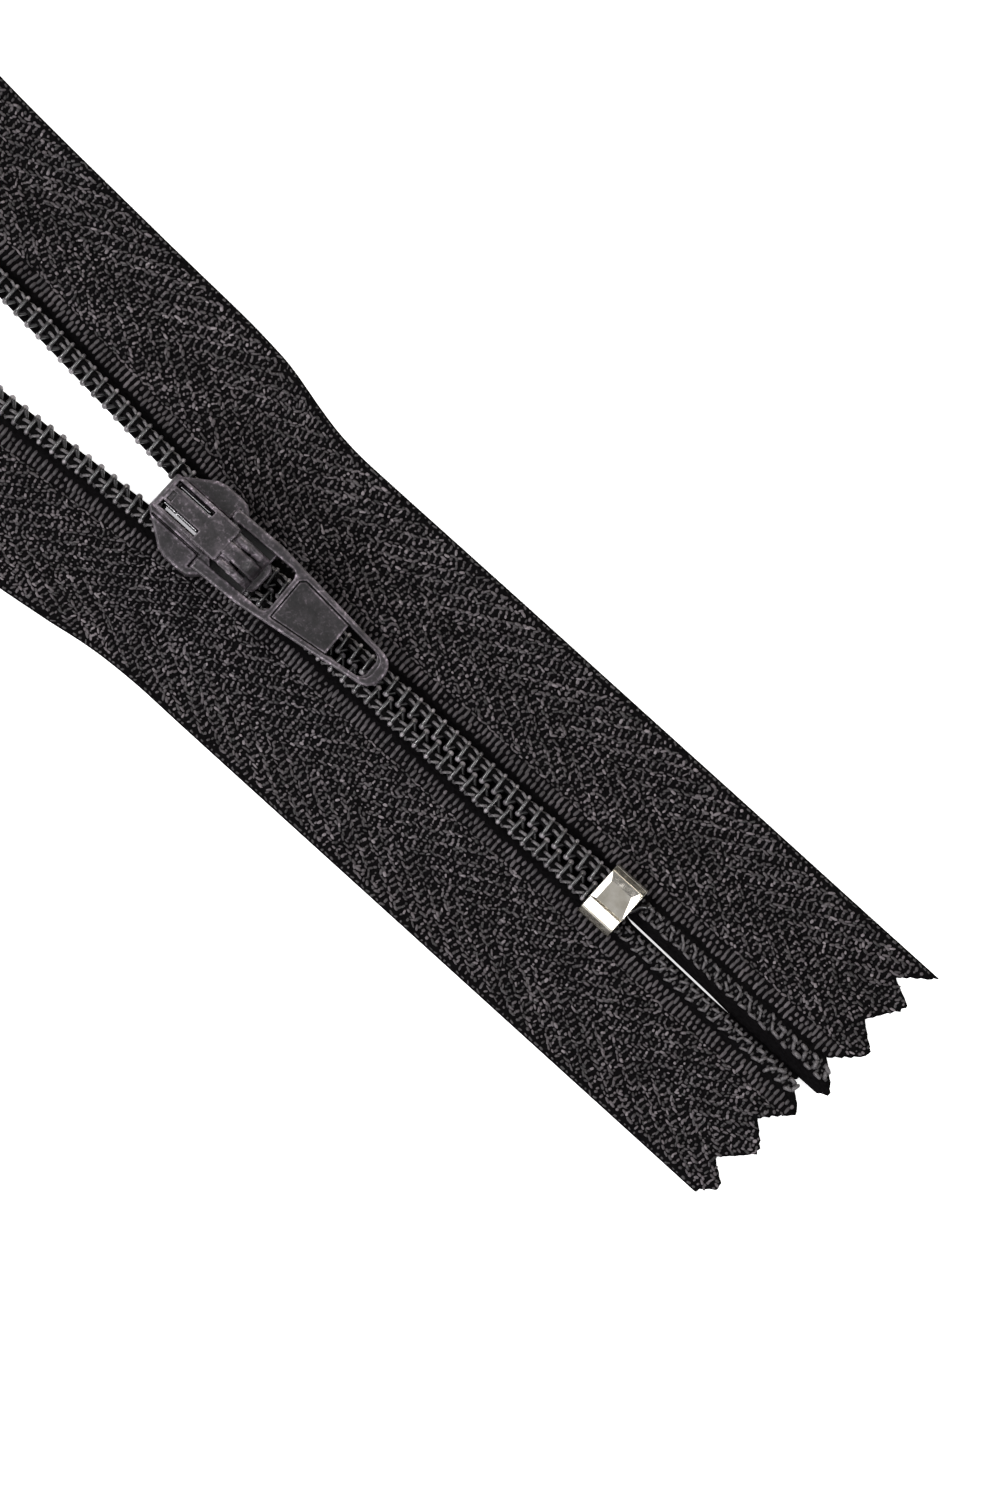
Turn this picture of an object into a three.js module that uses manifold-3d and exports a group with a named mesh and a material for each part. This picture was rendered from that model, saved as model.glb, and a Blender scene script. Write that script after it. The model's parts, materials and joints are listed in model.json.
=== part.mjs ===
// A closed-end nylon coil zipper, lying flat and partly open.
// Millimetres. +X runs along the chain towards the open end, +Y to the left tape, +Z up out of the face.
// The origin is under the middle of the zipper, on the surface that it lies on.

import * as THREE from 'three';
import { mergeVertices } from 'three/addons/utils/BufferGeometryUtils.js';
import Module from 'manifold-3d';

const wasm = await Module();
wasm.setup();

// Driving dimensions

const stopX = -48.584; // bottom stop's centre
const chainLength = 100; // bottom stop's centre to the top stops
const bottomTape = 22.5; // tape past the bottom stop's centre, to its pinked tips
const topTape = 20; // tape past the ends of the coils
const tapeHalf = 12.5; // centre line to a tape's outer edge, closed
const tapeThick = 0.5;
const gap = 0.3; // between pieces that lie side by side
const layerGap = 0.1; // between layers that lie on each other

const tapeLift = 1.2; // under the tape beside the chain, so that the slider's lower plate passes
const liftedHalf = 4.3; // the tape stays level this far from the centre line
const laidHalf = 9; // and lies on the surface from here outwards

const coilPitch = 1.26;
const coilHalf = 1.7; // centre line to the outer end of a coil's legs, closed
const coilHeight = 1.5;
const coilWire = 0.35; // thickness of the nylon legs
const cordHalfWidth = 0.42; // core cord inside a coil
const cordHalfHeight = 0.3;
const headDepth = 0.65; // closed head of a coil, from the centre line outwards
const toothReach = 0.3; // how far a head passes the centre line
const stitchInner = 0.95;
const stitchOuter = 1.6;
const stitchThick = 0.1;

const sliderLength = 10.1;
const sliderHalf = 3.73;
const flangeThick = 0.5; // the side walls that hold the two halves of the chain together
const flangeStart = -2.6; // behind the slider's front edge
const sliderAboveStop = 47.3; // slider's front edge above the bottom stop's centre
const plateThick = 0.65;
const lowerPlateThick = 0.8;
const openAngle = THREE.MathUtils.degToRad(4.2); // each open tape, away from the centre line
const openAtFront = 1.35; // how far the chain has moved aside at the slider's front

const capHalf = 1.7;
const capRearHalf = 1.38;
const capShoulder = -6.9; // where the cap narrows
const capTop = 6.95;
const capWall = 0.45;
const pivotBack = 6.1; // slider's front to the pull's crossbar
const pivotZ = 5.25;
const crossbarRadius = 0.42;
const springThick = 0.2;

const pullLength = 16.3; // crossbar to tip
const pullThick = 0.9;
const pullHalf = 2.96; // at the arms
const pullTipHalf = 1.52;
const pullDroop = THREE.MathUtils.degToRad(2.5);
const pullYaw = THREE.MathUtils.degToRad(1.64);

const stopLength = 3.18;
const stopHalf = 2.46;
const stopSheet = 0.35; // thickness of the stops' metal
const stopFold = 0.8; // length of the prongs' ends, folded in under the tape
const topStopReach = 2.6; // centre line to the outer side of a top stop
const topStopCrown = 1.5; // thickness of its upper side, which stands as high as the coil

const pinkPitch = 4.13;
const pinkDepth = 2;
const endStitchMargin = 4; // stitching starts this far inside the bottom tips

// Places worked out from them

const frontX = stopX + sliderAboveStop;
const topX = stopX + chainLength;
const hingeX = frontX - openAtFront / Math.tan(openAngle);
const splitX = frontX - 6.2; // where the lower half of a tape ends and the upper half starts
const tapeTop = tapeLift + tapeThick;
const coilZ = tapeTop + layerGap;
const coilTop = coilZ + coilHeight;
const stitchZ = coilTop + layerGap / 2;
const plateZ = stitchZ + stitchThick + gap; // under the slider's upper plate
const plateTop = plateZ + plateThick;
const lowerPlateZ = tapeLift - gap - lowerPlateThick;
const capZ = plateTop + layerGap;
const tapeSides = [
  { name: 'left', side: 1 },
  { name: 'right', side: -1 },
];

// Materials

const blackCloth = () => new THREE.MeshStandardMaterial({ color: 0x1a1819, roughness: 0.95, metalness: 0 });
const blackNylon = () => new THREE.MeshStandardMaterial({ color: 0x131214, roughness: 0.45, metalness: 0 });
const greyPaint = () => new THREE.MeshStandardMaterial({ color: 0x4b484c, roughness: 0.45, metalness: 0.6 });
const nickel = () => new THREE.MeshStandardMaterial({ color: 0xb9b3a6, roughness: 0.3, metalness: 1 });
const springSteel = () => new THREE.MeshStandardMaterial({ color: 0xc9c9cc, roughness: 0.25, metalness: 1 });

// Solids: an outline pushed along one axis, and joins and cuts between such solids

function toSolid(geometry) {
  const plain = geometry.index ? geometry.toNonIndexed() : geometry.clone();
  plain.deleteAttribute('normal');
  plain.deleteAttribute('uv');
  const merged = mergeVertices(plain, 1e-4);
  return new wasm.Manifold(new wasm.Mesh({
    numProp: 3,
    vertProperties: new Float32Array(merged.attributes.position.array),
    triVerts: new Uint32Array(merged.index.array),
  }));
}

function toGeometry(solid) {
  const mesh = solid.getMesh();
  const geometry = new THREE.BufferGeometry();
  geometry.setAttribute('position', new THREE.BufferAttribute(mesh.vertProperties, 3));
  geometry.setIndex(new THREE.BufferAttribute(mesh.triVerts, 1));
  geometry.computeVertexNormals();
  return geometry;
}

const outline = (points) => new THREE.Shape(points.map(([a, b]) => new THREE.Vector2(a, b)));
const push = (shape, depth) => new THREE.ExtrudeGeometry(shape, { depth, bevelEnabled: false, curveSegments: 6 });

// outline in X and Y, from one height to another
const plan = (shape, fromZ, toZ) => toSolid(push(shape, toZ - fromZ).translate(0, 0, fromZ));

// outline in X and Z, between the same distance left and right of the centre line
function sideways(shape, half) {
  return toSolid(push(shape, 2 * half).rotateX(Math.PI / 2).translate(0, half, 0));
}

// outline in Y and Z, along X
function along(shape, fromX, toX) {
  const turn = new THREE.Matrix4().makeBasis(
    new THREE.Vector3(0, 1, 0),
    new THREE.Vector3(0, 0, 1),
    new THREE.Vector3(1, 0, 0),
  );
  return toSolid(push(shape, toX - fromX).applyMatrix4(turn).translate(fromX, 0, 0));
}

const rectangle = (a0, a1, b0, b1) => outline([[a0, b0], [a1, b0], [a1, b1], [a0, b1]]);
const block = (x0, x1, y0, y1, z0, z1) => plan(rectangle(x0, x1, y0, y1), z0, z1);

// the outline with these points along one side of the centre line and their mirror images along the other
const bothSides = (points) => outline([...points, ...points.map(([x, y]) => [x, -y]).reverse()]);

// a block on one side of the centre line, between two distances from it
function sideBlock(side, x0, x1, near, far, z0, z1) {
  return block(x0, x1, Math.min(side * near, side * far), Math.max(side * near, side * far), z0, z1);
}

function named(name, solid, material) {
  const mesh = new THREE.Mesh(toGeometry(solid), material);
  mesh.name = name;
  return mesh;
}

// Tapes

// height of the tape's underside at a distance from the centre line
function tapeHeight(distance) {
  const t = THREE.MathUtils.clamp((distance - liftedHalf) / (laidHalf - liftedHalf), 0, 1);
  return tapeLift * (1 - t * t * (3 - 2 * t));
}

function tapeSection(side) {
  const steps = 8;
  const stations = [gap / 2];
  for (let i = 0; i <= steps; i += 1) {
    stations.push(liftedHalf + (i / steps) * (laidHalf - liftedHalf));
  }
  stations.push(tapeHalf);
  const under = stations.map((y) => [side * y, tapeHeight(y)]);
  const over = stations.map((y) => [side * y, tapeHeight(y) + tapeThick]);
  return outline([...under, ...over.reverse()]);
}

// Everything past a zigzag line across one tape, for cutting its pinked end. Tips point along outward, +1 or -1.
function pastPinking(side, tipX, outward, firstTip) {
  const points = [];
  for (let k = -1; k * pinkPitch + firstTip < tapeHalf + pinkPitch; k += 1) {
    points.push([tipX, side * (firstTip + k * pinkPitch)]);
    points.push([tipX - outward * pinkDepth, side * (firstTip + (k + 0.5) * pinkPitch)]);
  }
  const farX = tipX + outward * 10;
  const first = points[0][1];
  const last = points[points.length - 1][1];
  return plan(outline([...points, [farX, last], [farX, first]]), -1, tapeTop + 1);
}

// All that an open tape covers past a place along it, a little enlarged, to cut the closed tape clear of it
function openedBlock(side, fromX) {
  const cutter = new THREE.BoxGeometry(40, 2 * tapeHalf + 10, 20);
  cutter.translate(fromX - gap - hingeX + 20, 0, 0);
  cutter.rotateZ(side * openAngle);
  cutter.translate(hingeX, 0, 0);
  return toSolid(cutter);
}

const stopLegInner = stopHalf - stopSheet;

// The slit in one tape that a leg of the bottom stop goes through
function stopSlit(side) {
  const half = stopLength / 2 + gap;
  return sideBlock(side, stopX - half, stopX + half, stopLegInner - gap, stopHalf + gap, 0, coilZ);
}

function tapeEnd({ name, side }) {
  const tipX = stopX - bottomTape + (side > 0 ? 0.9 : 0);
  const firstTip = side > 0 ? 2.7 : 0.3;
  const solid = along(tapeSection(side), tipX - 5, stopX + stopLength)
    .subtract(pastPinking(side, tipX, -1, firstTip))
    .subtract(stopSlit(side));
  return named(`${name}_tape_end`, solid, blackCloth());
}

function lowerTape({ name, side }) {
  const solid = along(tapeSection(side), stopX + stopLength + gap, splitX + 2)
    .subtract(openedBlock(side, splitX));
  return named(`${name}_tape_lower`, solid, blackCloth());
}

function upperTape({ name, side }) {
  const tipX = topX + topTape;
  const solid = along(tapeSection(side), splitX, tipX + 5)
    .subtract(pastPinking(side, tipX, 1, 1.2));
  return named(`${name}_tape_upper`, solid, blackCloth());
}

// Coils: a channel of nylon, open outwards, whose closed edge is toothed. The two sides' teeth mesh.

function coilSection(side) {
  const inner = toothReach + gap;
  return outline([
    [-side * inner, coilZ],
    [side * coilHalf, coilZ],
    [side * coilHalf, coilZ + coilWire],
    [side * headDepth, coilZ + coilWire],
    [side * headDepth, coilTop - coilWire],
    [side * coilHalf, coilTop - coilWire],
    [side * coilHalf, coilTop],
    [-side * inner, coilTop],
  ]);
}

// What lies past the wavy line between the two rows of heads, on the other side of it
function pastTeeth(side, fromX, toX) {
  const reach = toothReach + gap / 2;
  const points = [];
  const first = Math.floor((fromX - stopX) / coilPitch) - 1;
  for (let k = first; stopX + k * coilPitch < toX + coilPitch; k += 1) {
    points.push([stopX + k * coilPitch, -reach + side * gap / 2]);
    points.push([stopX + (k + 0.5) * coilPitch, reach + side * gap / 2]);
  }
  const far = -side * 3;
  return plan(outline([...points, [points[points.length - 1][0], far], [points[0][0], far]]), 0, plateZ);
}

function coil(name, side, fromX, toX) {
  const solid = along(coilSection(side), fromX, toX).subtract(pastTeeth(side, fromX, toX));
  return named(name, solid, blackNylon());
}

// The stretch of a coil inside the slider, where it leaves the centre line
function crossingCoil({ name, side }) {
  const rear = frontX - 7.9;
  const front = frontX - 0.9;
  const steps = 10;
  const inner = [];
  const outer = [];
  for (let i = 0; i <= steps; i += 1) {
    const x = rear + (i / steps) * (front - rear);
    const aside = THREE.MathUtils.smoothstep(x, frontX - 10.5, frontX + 0.5) * (x - hingeX) * Math.tan(openAngle);
    inner.push([x, side * (aside + gap / 2)]);
    outer.push([x, side * (aside + coilHalf)]);
  }
  return named(`${name}_coil_crossing`, plan(outline([...inner, ...outer.reverse()]), coilZ, coilTop), blackNylon());
}

// Core cord inside a coil: a flattened eight-sided string
function coreCord(name, side, fromX, toX) {
  const middleY = side * (headDepth + coilHalf) / 2;
  const middleZ = (coilZ + coilTop) / 2;
  const points = [];
  for (let i = 0; i < 8; i += 1) {
    const a = ((i + 0.5) / 8) * 2 * Math.PI;
    points.push([middleY + cordHalfWidth * Math.cos(a), middleZ + cordHalfHeight * Math.sin(a)]);
  }
  return named(name, along(outline(points), fromX, toX), blackCloth());
}

// Both rows of lockstitching that hold a coil down, as one band on it
function stitching(name, side, fromX, toX, z) {
  const band = sideBlock(side, fromX, toX, stitchInner, stitchOuter, z, z + stitchThick);
  return named(name, band, blackCloth());
}

// Stops

function bottomStop() {
  const top = coilTop + layerGap;
  const under = tapeLift - layerGap;
  const shape = outline([
    [-stopHalf, under - stopSheet],
    [-stopHalf + stopSheet + stopFold, under - stopSheet],
    [-stopHalf + stopSheet + stopFold, under],
    [-stopLegInner, under],
    [-stopLegInner, top],
    [stopLegInner, top],
    [stopLegInner, under],
    [stopHalf - stopSheet - stopFold, under],
    [stopHalf - stopSheet - stopFold, under - stopSheet],
    [stopHalf, under - stopSheet],
    [stopHalf, top + stopSheet],
    [-stopHalf, top + stopSheet],
  ]);
  return named('bottom_stop', along(shape, stopX - stopLength / 2, stopX + stopLength / 2), nickel());
}

// A clip closed round the inner edge of one tape, past the end of its coil
function topStop({ name, side }) {
  const x0 = topX + gap;
  const x1 = x0 + stopLength;
  const under = tapeLift - layerGap;
  const over = tapeTop + layerGap;
  const outside = sideBlock(side, x0, x1, gap / 2, topStopReach, under - stopSheet, over + topStopCrown);
  const inside = sideBlock(side, x0 - 1, x1 + 1, gap / 2 + stopSheet, topStopReach - stopSheet, under, over);
  return named(`${name}_top_stop`, outside.subtract(inside), nickel());
}

// The notch and the slit in an upper tape that its top stop's two walls go through
function topStopSlits(side) {
  const x1 = topX + stopLength + 2 * gap;
  const notch = sideBlock(side, topX, x1, 0, gap / 2 + stopSheet + gap, 0, coilZ);
  const slit = sideBlock(side, topX, x1, topStopReach - stopSheet - gap, topStopReach + gap, 0, coilZ);
  return notch.add(slit);
}

// Slider, in its own frame: X is 0 at its front edge and runs back along -X

function sliderOutline(inset) {
  const nose = 1.55 - inset;
  const wing = sliderHalf - inset;
  const rear = 2.6 - inset;
  return bothSides([
    [0, nose],
    [-2.75, wing - 0.23],
    [-3.6, wing],
    [-5, wing],
    [-5.8, wing - 0.28],
    [-6.3, wing - 0.83],
    [-sliderLength, rear],
  ]);
}

function sliderBody() {
  const upper = plan(sliderOutline(0), plateZ, plateTop);
  const lower = plan(sliderOutline(0), lowerPlateZ, lowerPlateZ + lowerPlateThick);
  // side walls under the upper plate, clear of the chain inside and of the tape below
  const walls = plan(sliderOutline(0), tapeTop + gap, plateZ + 0.2)
    .subtract(plan(sliderOutline(flangeThick), 0, plateTop))
    .subtract(block(-sliderLength - 1, -sliderLength + 1, -2, 2, 0, plateTop))
    .subtract(block(flangeStart, 1, -sliderHalf, sliderHalf, 0, plateTop));
  const wedge = new THREE.Shape();
  wedge.moveTo(-0.3, 0.75);
  wedge.lineTo(-1, 0.7);
  wedge.lineTo(-4.4, 0.06);
  wedge.lineTo(-4.4, -0.06);
  wedge.lineTo(-1, -0.7);
  wedge.lineTo(-0.3, -0.75);
  const divider = plan(wedge, lowerPlateZ + 0.2, plateZ + 0.2);
  const pawlHole = block(-8.65, -7.75, -0.65, 0.65, plateZ - 1, plateTop + 1);
  const solid = upper.add(lower).add(walls).add(divider).subtract(pawlHole);
  return named('slider_body', solid, greyPaint());
}

function sliderCap() {
  const front = new THREE.Shape();
  front.moveTo(-0.25, capZ);
  front.lineTo(-0.25, capTop - 0.9);
  front.quadraticCurveTo(-0.35, capTop, -1.4, capTop);
  front.lineTo(capShoulder, capTop);
  front.lineTo(capShoulder, capZ);
  const rear = new THREE.Shape();
  rear.moveTo(capShoulder + 0.5, capZ);
  rear.lineTo(capShoulder + 0.5, capTop);
  rear.lineTo(capShoulder - 0.9, capTop);
  rear.quadraticCurveTo(-9.9, capTop - 0.1, -sliderLength, capZ + 0.6);
  rear.lineTo(-sliderLength, capZ);
  const hollowTop = capTop - capWall;
  const hollow = sideways(rectangle(-7.2, -1, capZ - 1, hollowTop), capHalf - capWall)
    .add(sideways(rectangle(-8.75, -7, capZ - 1, hollowTop), capRearHalf - capWall));
  const barNotch = sideways(rectangle(-7, -5.2, capZ - 1, pivotZ + crossbarRadius + 0.2), sliderHalf);
  const slot = (side) => sideBlock(side, -4.5, -0.9, 0.6, 1.1, hollowTop - 0.5, capTop + 1);
  const solid = sideways(front, capHalf)
    .add(sideways(rear, capRearHalf))
    .subtract(hollow)
    .subtract(barNotch)
    .subtract(slot(1))
    .subtract(slot(-1));
  return named('slider_cap', solid, greyPaint());
}

// Leaf spring under the cap, with the pawl at its rear end that drops between the coils' legs
function lockSpring() {
  const leafZ = pivotZ + crossbarRadius + 0.13;
  const footZ = capZ + 0.05;
  const footX = -1.35;
  const leaf = sideways(outline([
    [footX, footZ],
    [footX, leafZ + springThick],
    [-6.8, leafZ + springThick],
    [-6.8, leafZ],
    [footX - springThick, leafZ],
    [footX - springThick, footZ],
  ]), 1.05);
  const pawlX = -8.3;
  const pawlTipZ = stitchZ + stitchThick + 0.05;
  const pawl = sideways(outline([
    [-6.6, leafZ],
    [-6.6, leafZ + springThick],
    [pawlX, leafZ + springThick],
    [pawlX, pawlTipZ],
    [pawlX + 1.5 * springThick, pawlTipZ],
    [pawlX + 1.5 * springThick, leafZ],
  ]), 0.4);
  return named('lock_spring', leaf.add(pawl), springSteel());
}

// Pull tab, in its own frame: the crossbar's centre is at 0 and the tip along -X
function pullTab() {
  const half = pullThick / 2;
  const side = [[0.5, pullHalf], [-4.1, 2.88], [-6.7, 2.55], [-pullLength + 1.1, pullTipHalf]];
  const tipRound = [[-pullLength + 0.5, pullTipHalf - 0.25], [-pullLength + 0.1, 0.9], [-pullLength, 0.5]];
  const body = bothSides([...side, ...tipRound]);
  const bigWindow = bothSides([[1.5, 2], [-5.6, 2], [-6.1, 1.5]]);
  const smallWindow = bothSides([[-11.8, 1.35], [-14.7, 1.1], [-15.1, 0.7]]);
  const recess = bothSides([[-6.7, 1.9], [-11.4, 1.45]]);
  const crossbar = new THREE.CylinderGeometry(crossbarRadius, crossbarRadius, 4.6, 12);
  const solid = plan(body, -half, half)
    .subtract(plan(bigWindow, -1, 1))
    .subtract(plan(smallWindow, -1, 1))
    .subtract(plan(recess, half - 0.25, 1))
    .add(toSolid(crossbar));
  return named('pull_tab', solid, greyPaint());
}

// Assembly

const zipper = new THREE.Group();
const rowStartX = stopX - bottomTape + endStitchMargin;
const crossingRear = frontX - 8.2;
const crossingFront = frontX - 0.6;

zipper.add(bottomStop());

for (const each of tapeSides) {
  const { name, side } = each;
  const endStitch = tapeTop + layerGap;

  // fixed: the bottom end of the tape
  zipper.add(tapeEnd(each));
  zipper.add(stitching(`${name}_stitching_end`, side, rowStartX, stopX - stopLength / 2 - gap, endStitch));

  // closed chain, below the slider
  const chainX = stopX - stopLength / 2 + gap;
  zipper.add(lowerTape(each));
  zipper.add(coil(`${name}_coil_lower`, side, chainX, crossingRear));
  zipper.add(coreCord(`${name}_cord_lower`, side, chainX, crossingRear));
  zipper.add(stitching(`${name}_stitching_lower`, side, stopX + stopLength / 2 + gap, crossingRear, stitchZ));
  zipper.add(crossingCoil(each));

  // open chain, above the slider: made closed, then turned about the point where its line crosses the centre line
  const upper = new THREE.Group();
  const tape = upperTape(each);
  tape.geometry = toGeometry(toSolid(tape.geometry).subtract(topStopSlits(side)));
  upper.add(tape);
  upper.add(coil(`${name}_coil_upper`, side, crossingFront, topX));
  upper.add(coreCord(`${name}_cord_upper`, side, crossingFront, topX));
  upper.add(stitching(`${name}_stitching_upper`, side, crossingFront, topX, stitchZ));
  upper.add(topStop(each));
  for (const piece of upper.children) {
    piece.position.x = -hingeX;
  }
  upper.position.x = hingeX;
  upper.rotation.z = side * openAngle;
  zipper.add(upper);
}

const slider = new THREE.Group();
slider.add(sliderBody());
slider.add(sliderCap());
slider.add(lockSpring());
const pull = pullTab();
pull.position.set(-pivotBack, 0, pivotZ);
pull.rotation.set(0, -pullDroop, pullYaw, 'ZYX');
slider.add(pull);
slider.position.x = frontX;
zipper.add(slider);

export default zipper;
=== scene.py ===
"""The looks of a nylon coil zipper that lies flat and partly open.

Woven tapes, wound coils, sewing thread, a painted die-cast slider with its pull, and pressed metal stops.
Lengths in this script are millimetres, and make() turns them into metres. The soft pieces and the top
stops are shaped as if the zipper were closed: x along the chain, d outwards from its centre line and z up.
opened() then lays them open.
"""
import json
import math

import bpy
import numpy as np
from mathutils import Matrix, Vector


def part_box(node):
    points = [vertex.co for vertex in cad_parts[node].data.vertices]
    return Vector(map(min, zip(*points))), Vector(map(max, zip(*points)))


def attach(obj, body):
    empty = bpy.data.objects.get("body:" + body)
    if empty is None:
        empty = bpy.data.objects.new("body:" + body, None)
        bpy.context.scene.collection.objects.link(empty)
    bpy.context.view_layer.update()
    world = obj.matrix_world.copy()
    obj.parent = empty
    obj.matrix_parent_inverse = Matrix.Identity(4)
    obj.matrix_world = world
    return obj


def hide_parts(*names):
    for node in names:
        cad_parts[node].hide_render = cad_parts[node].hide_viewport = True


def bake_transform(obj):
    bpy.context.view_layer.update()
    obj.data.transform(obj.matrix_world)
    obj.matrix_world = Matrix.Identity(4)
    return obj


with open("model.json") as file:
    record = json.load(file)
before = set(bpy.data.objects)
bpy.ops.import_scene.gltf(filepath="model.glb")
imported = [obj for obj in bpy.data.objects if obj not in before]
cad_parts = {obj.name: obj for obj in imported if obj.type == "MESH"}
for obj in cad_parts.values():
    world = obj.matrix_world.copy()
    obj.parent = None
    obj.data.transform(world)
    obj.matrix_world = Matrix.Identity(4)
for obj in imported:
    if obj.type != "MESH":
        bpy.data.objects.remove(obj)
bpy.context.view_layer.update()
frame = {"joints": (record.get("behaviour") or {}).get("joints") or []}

MM = 0.001
random = np.random.default_rng(11)
SIDES = {"left": 1, "right": -1}

# --- Places from the frame ---

joints = {j["name"]: j for j in frame["joints"]}
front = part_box("slider_body")[1].x / MM
stop_low, stop_high = (np.array(c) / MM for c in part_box("bottom_stop"))
stop_x = (stop_low[0] + stop_high[0]) / 2
pivot_up = joints["upper_left_parting"]["pos_m"][0] / MM
open_angle = math.radians(joints["upper_right_parting"]["range_deg"][1])
pull_pivot = np.array(joints["pull_tab_swing"]["pos_m"]) / MM
pull_axis = joints["pull_tab_swing"]["axis"]

chain_length = 100
top_x = stop_x + chain_length
bend_start, bend_end = front - 10.5, front + 0.5  # between these, the slider parts the closed tapes
split_x = front - 14  # where each side's lower piece ends and its upper piece starts

# A tape's section: it is lifted beside the coils and lies on the table further out
tape_half = 12.5
tape_thick = 0.5
tape_lift = 1.2
lifted_half = 4.3
laid_half = 9

# The chain
coil_pitch = 1.26
coil_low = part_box("left_coil_lower")[0].z / MM
coil_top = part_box("left_coil_lower")[1].z / MM


def smooth(t):
    """A gentle rise from 0 to 1."""
    t = np.clip(t, 0, 1)
    return t * t * (3 - 2 * t)


# --- Meshes ---

def make(name, points, faces, look, tones=None):
    """A smooth-shaded mesh object from points in mm. tones is a value from 0 to 1 at each point."""
    mesh = bpy.data.meshes.new(name)
    polygons = faces.tolist() if isinstance(faces, np.ndarray) else faces
    mesh.from_pydata((np.asarray(points, float) * MM).tolist(), [], polygons)
    mesh.validate()
    mesh.polygons.foreach_set("use_smooth", [True] * len(mesh.polygons))
    if tones is not None:
        stored = mesh.attributes.new("tone", "FLOAT", "POINT")
        stored.data.foreach_set("value", np.asarray(tones, np.float32))
    mesh.materials.append(look)
    piece = bpy.data.objects.new(name, mesh)
    bpy.context.scene.collection.objects.link(piece)
    return piece


def grid(rows, columns, ring=False, start=0):
    """Quads between points laid out row by row. In a ring each row closes on itself."""
    r, c = np.meshgrid(np.arange(rows - 1), np.arange(columns if ring else columns - 1), indexing="ij")
    a = r * columns + c
    b = r * columns + (c + 1) % columns
    return np.stack([a, b, b + columns, a + columns], -1).reshape(-1, 4) + start


class Bundle:
    """Points, faces and tones of many small shapes that become one mesh."""

    def __init__(self):
        self.points, self.faces, self.tones, self.count = [], [], [], 0

    def add(self, points, faces):
        self.points.append(points)
        self.faces.extend((np.asarray(f) + self.count).tolist() for f in faces)
        self.count += len(points)

    def add_many(self, points, faces, tones):
        """Copies of one template: points is (copies, template points, 3), and each copy has one tone."""
        copies, size, _ = points.shape
        offsets = self.count + np.arange(copies) * size
        self.points.append(points.reshape(-1, 3))
        self.faces.extend((faces[None] + offsets[:, None, None]).reshape(-1, faces.shape[1]).tolist())
        self.tones.append(np.repeat(tones, size))
        self.count += copies * size


def sweep(path, wide, thick, sides, across=(1, 0, 0)):
    """A closed tube with round or oval sections along a path.

    wide is its half width towards across, and thick is the half width square to that.
    """
    path = np.asarray(path, float)
    steps = len(path)
    tangent = np.gradient(path, axis=0)
    tangent /= np.linalg.norm(tangent, axis=1, keepdims=True)
    across = np.broadcast_to(np.asarray(across, float), path.shape)
    b = across - (across * tangent).sum(1, keepdims=True) * tangent
    b /= np.linalg.norm(b, axis=1, keepdims=True)
    n = np.cross(tangent, b)
    turn = (np.arange(sides) / sides * 2 * math.pi)[None, :, None]
    wide = np.broadcast_to(wide, steps)[:, None, None]
    thick = np.broadcast_to(thick, steps)[:, None, None]
    ring = wide * np.cos(turn) * b[:, None] + thick * np.sin(turn) * n[:, None]
    points = (path[:, None] + ring).reshape(-1, 3)
    faces = grid(steps, sides, ring=True).tolist()
    faces.append(list(range(sides))[::-1])
    faces.append([(steps - 1) * sides + i for i in range(sides)])
    return points, faces


# --- The zipper laid open ---

def sway(x, side):
    """How far a tape's outer edge strays from straight as it lies."""
    past = x - front
    if side > 0:
        return -0.05 - 0.5 * np.exp(-((past + 1) / 5.5) ** 2)
    return 0.1 + 0.32 * np.exp(-((past - 4) / 7) ** 2) - 0.5 * smooth((past - 10) / 22)


def ripple(x, side):
    """How high a tape's outer edge stands off the table."""
    buckle = 0.55 * np.exp(-((x - front - 3) / 7) ** 2)
    wave = 0.16 * (1 + np.sin(x / 9.5 + side)) + 0.08 * (1 + np.sin(x / 4.1 - 2 * side))
    return buckle + wave


def opened(closed, side):
    """Points (x, d, z) of one side of the closed zipper, where they lie with the slider at rest."""
    x, d, z = np.asarray(closed, float).T
    still = 3  # nearer to the centre line than this, the tape neither sways nor ripples
    outwards = smooth((d - still) / (tape_half - still))
    z = z + outwards * ripple(x, side)
    y = side * (d + outwards * sway(x, side))
    laid_x = x
    for _ in range(14):  # the turn depends on where the point comes to lie, so it is found step by step
        turn = side * open_angle * smooth((laid_x - bend_start) / (bend_end - bend_start))
        laid_x = pivot_up + (x - pivot_up) * np.cos(turn) - y * np.sin(turn)
    laid_y = (x - pivot_up) * np.sin(turn) + y * np.cos(turn)
    return np.stack([laid_x, laid_y, z], 1)


def flip(faces, side):
    """Mirroring turns faces inside out, so the right side's are reversed."""
    if side > 0:
        return faces
    return [list(f)[::-1] for f in faces]


def lay(piece_name, closed, faces, look, side, tones=None):
    """Makes a piece of one side from its points in the closed zipper."""
    return make(piece_name, opened(closed, side), flip(faces, side), look, tones)


# --- Materials ---

def new_material(name, color, roughness, **sockets):
    """One shader. Its other sockets are named with underscores for spaces."""
    look = bpy.data.materials.new(name)
    look.use_nodes = True
    shader = look.node_tree.nodes["Principled BSDF"]
    shader.inputs["Base Color"].default_value = (*color, 1)
    shader.inputs["Roughness"].default_value = roughness
    for socket, value in sockets.items():
        shader.inputs[socket.replace("_", " ")].default_value = value
    return look


def add_node(look, kind, settings=None, **inputs):
    """A node whose inputs are values or other nodes' sockets."""
    node = look.node_tree.nodes.new(kind)
    for key, value in (settings or {}).items():
        setattr(node, key, value)
    for key, value in inputs.items():
        socket = node.inputs[key.replace("_", " ")]
        if isinstance(value, bpy.types.NodeSocket):
            look.node_tree.links.new(value, socket)
        else:
            socket.default_value = value
    return node


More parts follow.
